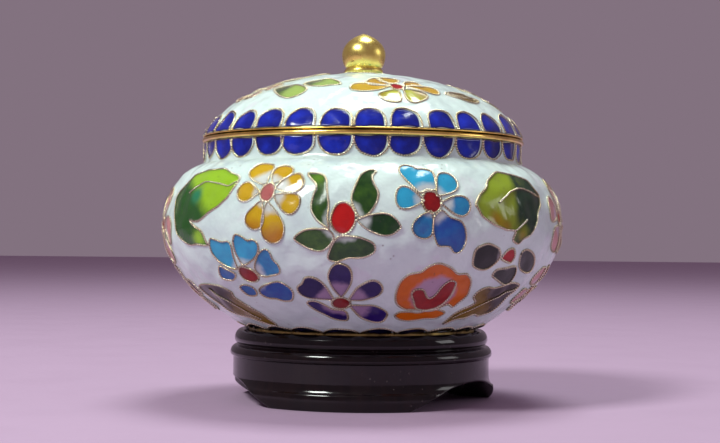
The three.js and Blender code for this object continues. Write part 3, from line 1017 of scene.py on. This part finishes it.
def white_ground():
    """White enamel, faintly green, with grey clouds, pinholes, and dirt beside the wires."""
    material, tree, shader, place = new_material("White ground enamel", IOR=1.5)
    cloud = ranged(tree, noise(tree, place, 75.0, 4.0, 0.6), 0.38, 0.72)
    body = mixed(tree, cloud, (0.69, 0.84, 0.79, 1), (0.58, 0.71, 0.69, 1))
    blush = ranged(tree, noise(tree, place, 130.0, 3.0), 0.56, 0.75, 0.0, 0.5)
    body = mixed(tree, blush, body, (0.66, 0.64, 0.72, 1))
    dirt = maths(tree, "MULTIPLY", kept_value(tree, "near_wire"), noise(tree, place, 600.0, 3.0))
    body = mixed(tree, ranged(tree, dirt, 0.25, 0.75, 0.0, 0.65), body, (0.36, 0.27, 0.17, 1))
    pits = use_group(tree, pinhole_group, {"Speck Scale": 520.0, "Speck Size": 0.15, "Patch Scale": 60.0,
                                           "Patch Share": 0.5})
    body = mixed(tree, maths(tree, "MULTIPLY", pits.outputs["Mask"], 0.7), body, (0.16, 0.13, 0.11, 1))
    swirl = noise(tree, place, 260.0, 4.0)
    counter = mixed(tree, ranged(tree, swirl, 0.3, 0.7), (0.05, 0.34, 0.44, 1), (0.09, 0.46, 0.55, 1))
    colour = mixed(tree, kept_value(tree, "lining"), body, counter)
    tree.links.new(colour, shader.inputs["Base Color"])
    apply_finish(tree, shader, {"Smoothest": 0.09, "Roughest": 0.26, "Patch Scale": 110.0,
                                "Ripple Scale": 300.0, "Ripple Height": 0.00030})
    return material


white = white_ground()
neck_inside = neck_radius - wall_thickness
belly_inside = belly_radius - wall_thickness
bowl_floor = bowl_base + wall_thickness
bowl_lining = np.vstack([
    [(neck_inside, mouth), (neck_inside, neck_base + 2.5)],
    sweep((neck_inside, neck_base), (neck_radius + 5.8, neck_base - 4.1), (belly_inside, belly_height + 7.8),
          (belly_inside, belly_height), 12),
    sweep((belly_inside, belly_height), (belly_inside, belly_height - 9.7),
          (foot_radius + 10.7, bowl_base + 6.8), (foot_radius - 1, bowl_floor), 16)[1:],
    [(18, bowl_floor), (8, bowl_floor), (0, bowl_floor)],
])
bowl_underside = [(radius, bowl_base) for radius in (0, 12, 24, foot_radius - 0.4)]
bowl_runs = np.linspace(0.0, bowl_wall.length, 112)
bowl_sides = 576
bowl_ground = ground_piece("bowl_ground", bowl_pattern, bowl_runs, bowl_sides, bowl_underside, bowl_lining)
fit(bowl_ground, white)
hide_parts("bowl")


# ---- Bowl: cloison wires -------------------------------------------------------------------------------
# Two fine brass wires twisted together, rolled flat, bent round each cell and gilded after the firing. The
# turns of the twist show as a row of beads.

bead_length = 0.68
wire_width = 0.70
wire_thickness = 0.48
wire_slant = 0.6
steps_per_bead = 4
bead_waist = 0.42  # thinnest part of a bead, as a share of its fullest


def stored(tree, geometry, name, value, kind="FLOAT"):
    """The same geometry with a named value on its points."""
    inputs = {"Geometry": geometry, "Name": name, "Value": value}
    return add(tree, "GeometryNodeStoreNamedAttribute", inputs, data_type=kind).outputs["Geometry"]


def twisted_wire_tree():
    """Node tree that turns a mesh of wire lines into twisted wire."""
    tree = bpy.data.node_groups.new("Twisted wire", "GeometryNodeTree")
    sockets = tree.interface
    sockets.new_socket("Geometry", in_out="INPUT", socket_type="NodeSocketGeometry")
    for name, value in (("Bead", 0.0006), ("Width", 0.0006), ("Thickness", 0.0004), ("Slant", 0.5)):
        sockets.new_socket(name, in_out="INPUT", socket_type="NodeSocketFloat").default_value = value
    sockets.new_socket("Material", in_out="INPUT", socket_type="NodeSocketMaterial")
    sockets.new_socket("Geometry", in_out="OUTPUT", socket_type="NodeSocketGeometry")
    entry = tree.nodes.new("NodeGroupInput").outputs

    curve = add(tree, "GeometryNodeMeshToCurve", {"Mesh": entry["Geometry"]}).outputs["Curve"]
    step = maths(tree, "DIVIDE", entry["Bead"], float(steps_per_bead))
    steps = add(tree, "GeometryNodeResampleCurve", {"Curve": curve, "Length": step}, mode="LENGTH")
    curve = steps.outputs["Curve"]
    number = tree.nodes.new("GeometryNodeInputIndex").outputs["Index"]
    phase = maths(tree, "MODULO", number, float(steps_per_bead))
    swell = maths(tree, "SINE", maths(tree, "MULTIPLY", phase, math.pi / steps_per_bead))
    fullness = maths(tree, "ADD", bead_waist, maths(tree, "MULTIPLY", swell, 1.0 - bead_waist))
    curve = stored(tree, curve, "groove", maths(tree, "SUBTRACT", 1.0, swell))
    ahead = tree.nodes.new("GeometryNodeInputTangent").outputs["Tangent"]
    curve = stored(tree, curve, "ahead", ahead, "FLOAT_VECTOR")

    circle = add(tree, "GeometryNodeCurvePrimitiveCircle", {"Resolution": 8, "Radius": 1.0}).outputs["Curve"]
    half_width = maths(tree, "DIVIDE", entry["Width"], 2.0)
    half_thickness = maths(tree, "DIVIDE", entry["Thickness"], 2.0)
    size = add(tree, "ShaderNodeCombineXYZ", {"X": half_width, "Y": half_thickness, "Z": 1.0})
    flattened = {"Geometry": circle, "Scale": size.outputs["Vector"]}
    profile = add(tree, "GeometryNodeTransform", flattened).outputs["Geometry"]
    place = tree.nodes.new("GeometryNodeInputPosition").outputs["Position"]
    side = add(tree, "ShaderNodeSeparateXYZ", {"Vector": place}).outputs["X"]
    profile = stored(tree, profile, "side", side)
    wire = add(tree, "GeometryNodeCurveToMesh", {"Curve": curve, "Profile Curve": profile, "Scale": fullness,
                                                 "Fill Caps": True}).outputs["Mesh"]

    kept_side = add(tree, "GeometryNodeInputNamedAttribute", {"Name": "side"}).outputs["Attribute"]
    kept_ahead = add(tree, "GeometryNodeInputNamedAttribute", {"Name": "ahead"}, data_type="FLOAT_VECTOR")
    shift = maths(tree, "MULTIPLY", kept_side, entry["Slant"])
    slanted = {0: kept_ahead.outputs["Attribute"], 3: shift}
    offset = add(tree, "ShaderNodeVectorMath", slanted, operation="SCALE").outputs["Vector"]
    wire = add(tree, "GeometryNodeSetPosition", {"Geometry": wire, "Offset": offset}).outputs["Geometry"]
    wire = add(tree, "GeometryNodeSetShadeSmooth", {"Geometry": wire}).outputs["Geometry"]
    wire = add(tree, "GeometryNodeRealizeInstances", {"Geometry": wire}).outputs["Geometry"]
    gilded = {"Geometry": wire, "Material": entry["Material"]}
    wire = add(tree, "GeometryNodeSetMaterial", gilded).outputs["Geometry"]
    add(tree, "NodeGroupOutput", {"Geometry": wire})
    return tree


twisted_wire = twisted_wire_tree()


def evaluated(piece, tree, values):
    """Turns a piece into the plain mesh that a geometry tree makes of it."""
    modifier = piece.modifiers.new("Made", "NODES")
    modifier.node_group = tree
    for item in tree.interface.items_tree:
        if item.in_out == "INPUT" and item.name in values:
            modifier[item.identifier] = values[item.name]
    made = bpy.data.meshes.new_from_object(piece.evaluated_get(bpy.context.evaluated_depsgraph_get()))
    piece.modifiers.remove(modifier)
    piece.data = made


def wire_piece(name, lines, material):
    """All wires of one row as one piece."""
    points = []
    edges = []
    for line, closed in lines:
        first = sum(len(part) for part in points)
        points.append(line)
        edges += [(first + i, first + i + 1) for i in range(len(line) - 1)]
        if closed:
            edges.append((first + len(line) - 1, first))
    piece = mesh_piece(name, np.vstack(points), edges, [])
    sizes = {"Bead": bead_length * MM, "Width": wire_width * MM, "Thickness": wire_thickness * MM}
    evaluated(piece, twisted_wire, {**sizes, "Slant": wire_slant, "Material": material})
    piece.data.materials.clear()
    return piece


def twisted_gilt():
    """The gilding of the wires, paled to cream as painted highlight on the turns of the twist, and painted
    nearly black in the grooves between as their shade.
    """
    material = gilt_brass("Gilt wire", (1.0, 0.92, 0.68, 1), (0.80, 0.68, 0.40, 1), 0.16, 0.30)
    tree = material.node_tree
    shader = tree.nodes["Principled BSDF"]
    brass = shader.inputs["Base Color"].links[0].from_socket
    # Painted shade: the grooves between the beads are darkened nearly to black.
    share = ranged(tree, kept_value(tree, "groove"), 0.14, 0.54, 0.0, 0.99)
    tree.links.new(mixed(tree, share, brass, (0.03, 0.015, 0.008, 1)), shader.inputs["Base Color"])
    return material


wire_gilt = twisted_gilt()
for row, lines in bowl_pattern.wires.items():
    fit(wire_piece(f"bowl_wires_{row}", lines, wire_gilt), wire_gilt)


# ---- Bowl rim ------------------------------------------------------------------------------------------
# A brass ring with a rounded edge, soldered on the bowl's mouth, with a thin upstanding collar inside it
# that centres the lid. Gilded and polished.

bowl_rim_low, bowl_rim_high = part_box("bowl_rim")
ring_radius = bowl_rim_high.x / MM
ring_base = bowl_rim_low.z / MM
ring_height = 1.2
ring_top = ring_base + ring_height
ring_sides = 320
edge_radius = 0.6  # of the ring's rounded edge
collar_radius = ring_radius - 3.9
collar_inside = collar_radius - 0.9
collar_top = bowl_rim_high.z / MM
collar_ease = 0.2
rounded_edge = (ring_radius - edge_radius, ring_base + ring_height / 2)
rim_profile = np.vstack([
    [(collar_inside, ring_base + collar_ease), (collar_inside + collar_ease, ring_base)],
    arc(rounded_edge, (edge_radius, ring_height / 2), -90, 90, 14),
    [(collar_radius + 0.1, ring_top), (collar_radius, ring_top + 0.1)],
    [(collar_radius, collar_top - collar_ease), (collar_radius - collar_ease, collar_top)],
    [(collar_inside + collar_ease, collar_top), (collar_inside, collar_top - collar_ease)],
])
mouth_ring = turned("mouth_ring", rim_profile, ring_sides, closed=True)
gilt = gilt_brass("Gilt brass", (0.96, 0.72, 0.20, 1), (0.64, 0.44, 0.11, 1), 0.13, 0.28)
fit(mouth_ring, gilt)
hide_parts("bowl_rim")


# ---- Lid rim -------------------------------------------------------------------------------------------
# A thinner brass ring soldered to the lid's edge, which closes on the bowl's ring with a fine gap between. It
# is gilded and polished in the same way.

lid_rim_low, lid_rim_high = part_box("lid_rim")
lid_ring_base = lid_rim_low.z / MM
lid_ring_top = lid_rim_high.z / MM
lid_ring_middle = (lid_ring_base + lid_ring_top) / 2
lid_ring_inside = collar_radius + 0.5
lid_rim_profile = np.vstack([
    [(lid_ring_inside, lid_ring_base + 0.1), (lid_ring_inside + 0.1, lid_ring_base)],
    arc((ring_radius - edge_radius, lid_ring_middle), (0.4, lid_ring_top - lid_ring_middle), -90, 90, 10),
    [(lid_ring_inside + 0.1, lid_ring_top), (lid_ring_inside, lid_ring_top - 0.1)],
])
lid_edge_ring = turned("lid_edge_ring", lid_rim_profile, ring_sides, closed=True)
fit(lid_edge_ring, gilt)
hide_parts("lid_rim")


# ---- Lid -----------------------------------------------------------------------------------------------
# A low dome of the same enamelled copper. A band of cobalt scallops runs round its edge, flowers and leaves
# lie on its slope, and a ring of twisted wire frames the knob.

lid_low, lid_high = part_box("lid")
lid_base = lid_low.z / MM - solder
lid_rise = 22.3
lid_centre = lid_high.z / MM - lid_rise
lid_start = math.degrees(math.asin((lid_base - lid_centre) / lid_rise))
lid_span = lid_high.x / MM / math.cos(math.radians(lid_start))
stem_hole = 1.9
knob_ring_radius = 7.8
knob_ring_points = 160
lid_wall = Wall(arc((0, lid_centre), (lid_span, lid_rise), lid_start, 90, 160), domed=True)
lid_pattern = Pattern(lid_wall)
scallop_band(lid_pattern, "lid", count=30, first=2.9, run=0.1, half_width=4.5, height=5.8)

lid_pattern.draw("lid", 16, 17, "yellow", [
    petal(-87, 12.9, 6.0, pale=2.6, tone=0.8),
    petal(-51, 8.6, 5.5, pale=2.6, tone=0.5),
    petal(-9, 7.6, 6.0, pale=2.4, tone=0.6),
    petal(61, 8.6, 5.0, pale=2.6, tone=0.4),
    petal(91, 11.8, 5.0, pale=2.6, tone=0.6),
])
lid_pattern.draw("lid", 16, 17, "lime", [
    petal(144, 9.0, 7.0, pale=2.4, shade=(-100, -6.0, -1.5)),
    petal(210, 9.3, 6.5, pale=2.4, shade=(100, -6.0, -1.5)),
])
lid_pattern.draw("lid", 16, 17, "red", [heart(3.7, 4.5, tone=0.6)])
lid_pattern.draw("lid", -36, 14, "lid_leaf", [
    drawn([(-5.9, 2.4), (-5.2, 4.4), (-2.6, 5.1), (0.5, 4.9), (3.6, 3.7), (5.6, 2.2), (5.8, -0.3),
           (4.9, -2.5), (2.6, -3.2), (-0.4, -2.0), (-3.3, 0.0)], shade=(95, -3.0, 0.5)),
])
lid_pattern.draw("lid", -24, 20, "lid_leaf", [
    drawn([(-4.0, -0.6), (-2.8, 1.8), (-0.8, 3.4), (2.1, 3.7), (5.1, 1.8), (6.6, -0.9), (4.2, -2.2),
           (0.7, -2.5)], shade=(100, -3.0, 2.0)),
])
plain_leaf(lid_pattern, "lid", 49, 14, "brown", 100, 6.4)
plain_leaf(lid_pattern, "lid", -60, 30, "violet", 8, 8.0)
plain_flower(lid_pattern, "lid", -66, 19, "pink", reach=7.5)
for turn, colour in [(84, "blue"), (150, "orange"), (205, "yellow"), (262, "violet")]:
    plain_flower(lid_pattern, "lid", turn, 17.5, colour, reach=8.5, first=turn)
for turn, clock in [(117, 70), (178, 290), (234, 80)]:
    plain_leaf(lid_pattern, "lid", turn, 16, "green", clock, 7.5)

knob_ring_run = np.full(knob_ring_points, lid_wall.length - knob_ring_radius)
knob_ring = lid_wall.points(turns_round(knob_ring_points), knob_ring_run, 0.16)
lid_pattern.wires["lid"].append((knob_ring, True))

inner_rise = lid_rise - wall_thickness
inner_span = lid_span - wall_thickness
hole_end = math.degrees(math.acos(stem_hole / inner_span))
edge_end = math.degrees(math.asin((lid_base - lid_centre) / inner_rise))
lid_lining = arc((0, lid_centre), (inner_span, inner_rise), hole_end, edge_end, 30)
lid_runs = np.linspace(0.0, lid_wall.length - stem_hole, 84)
lid_sides = 472
lid_ground = ground_piece("lid_ground", lid_pattern, lid_runs, lid_sides, [], lid_lining, closed=True)
fit(lid_ground, white)
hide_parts("lid")
fit_cells(lid_pattern, "lid")
fit(wire_piece("lid_wires", lid_pattern.wires["lid"], wire_gilt), wire_gilt)


# ---- Knob ----------------------------------------------------------------------------------------------
# Turned from solid brass like a bud on a flat collar, and gilded. Its stem passes through the lid and is
# riveted over inside.

knob_low, knob_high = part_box("knob")
knob_radius = knob_high.x / MM
tip = knob_high.z / MM
rivet_base = knob_low.z / MM
knob_base = tip - 11.3
equator = (knob_radius, knob_base + 5.2)
stem_radius = 1.6
rivet_radius = 3.0
rivet_top = rivet_base + 1.0
rivet = [(0, rivet_base), (rivet_radius, rivet_base), (rivet_radius, rivet_top), (stem_radius, rivet_top)]
knob_profile = np.vstack([
    eased(rivet, 0.4),
    [(stem_radius, knob_base)],
    eased([(3.0, knob_base), (5.1, knob_base), (5.5, knob_base + 0.75), (5.1, knob_base + 1.45),
           (4.8, knob_base + 1.6)], 0.5),
    sweep((4.9, knob_base + 1.7), (5.6, knob_base + 2.2), (knob_radius, knob_base + 3.9), equator, 16),
    sweep(equator, (knob_radius, knob_base + 8.7), (2.6, tip - 0.7), (0, tip), 30)[1:],
])
bud_knob = turned("bud_knob", knob_profile, sides=128)
satin_gilt = gilt_brass("Satin gilt brass", (1.0, 0.82, 0.22, 1), (0.86, 0.66, 0.15, 1), 0.22, 0.36)
fit(bud_knob, satin_gilt)
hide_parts("knob")


# ---- Setting -------------------------------------------------------------------------------------------
# A plain lilac table in soft light: a key light high on the left in front, a wider one overhead and a little
# behind, and a weak one on the right.

table_colour = (0.46, 0.32, 0.46)
table_half = 3000
table_corners = [(-table_half, -table_half, 0), (table_half, -table_half, 0)]
table_corners += [(table_half, table_half, 0), (-table_half, table_half, 0)]
table = mesh_piece("table", table_corners, [], [(0, 1, 2, 3)])
table_material, tree, shader, place = new_material("table")
mottle = noise(tree, place, 40.0, 3.0)
darker = [0.97 * channel for channel in table_colour]
mottled = mixed(tree, mottle, (*table_colour, 1), (*darker, 1))
tree.links.new(mottled, shader.inputs["Base Color"])
tree.links.new(ranged(tree, mottle, 0.3, 0.7, 0.6, 0.75), shader.inputs["Roughness"])
table.data.materials.append(table_material)


def soft_light(name, place, aim, size, power, colour=(1, 1, 1)):
    """A square soft light. Its place, aim and size are in metres, and its power in watts."""
    light = bpy.data.lights.new(name, "AREA")
    light.size = size
    light.energy = power
    light.color = colour
    lamp = placed(name, light)
    lamp.location = place
    lamp.rotation_euler = (Vector(aim) - Vector(place)).to_track_quat("-Z", "Y").to_euler()


soft_light("key", (-0.50, -0.50, 0.78), (0, 0, 0.05), 0.24, 8.8, (0.93, 1.0, 0.94))
soft_light("overhead", (0.10, 0.27, 1.10), (0, 0, 0.05), 0.42, 8.0, (0.92, 1.0, 0.96))
soft_light("side", (0.90, -0.10, 0.35), (0, 0, 0.03), 0.3, 0.8)
world = bpy.data.worlds.new("Studio")
bpy.context.scene.world = world
world.use_nodes = True
surroundings = world.node_tree.nodes["Background"].inputs
surroundings["Color"].default_value = (0.80, 0.60, 0.76, 1)
surroundings["Strength"].default_value = 0.28

camera_distance = 0.413
camera_height = 0.044
camera_tilt = [math.radians(degrees) for degrees in (90.716, -0.55, 0.08)]
camera = placed("camera", bpy.data.cameras.new("camera"))
camera.data.sensor_width = 36
camera.data.lens = 74
camera.data.clip_start = 0.01
camera.location = (0, -camera_distance, camera_height)
camera.rotation_euler = camera_tilt
bpy.context.scene.camera = camera
bpy.context.scene.view_settings.view_transform = "Standard"
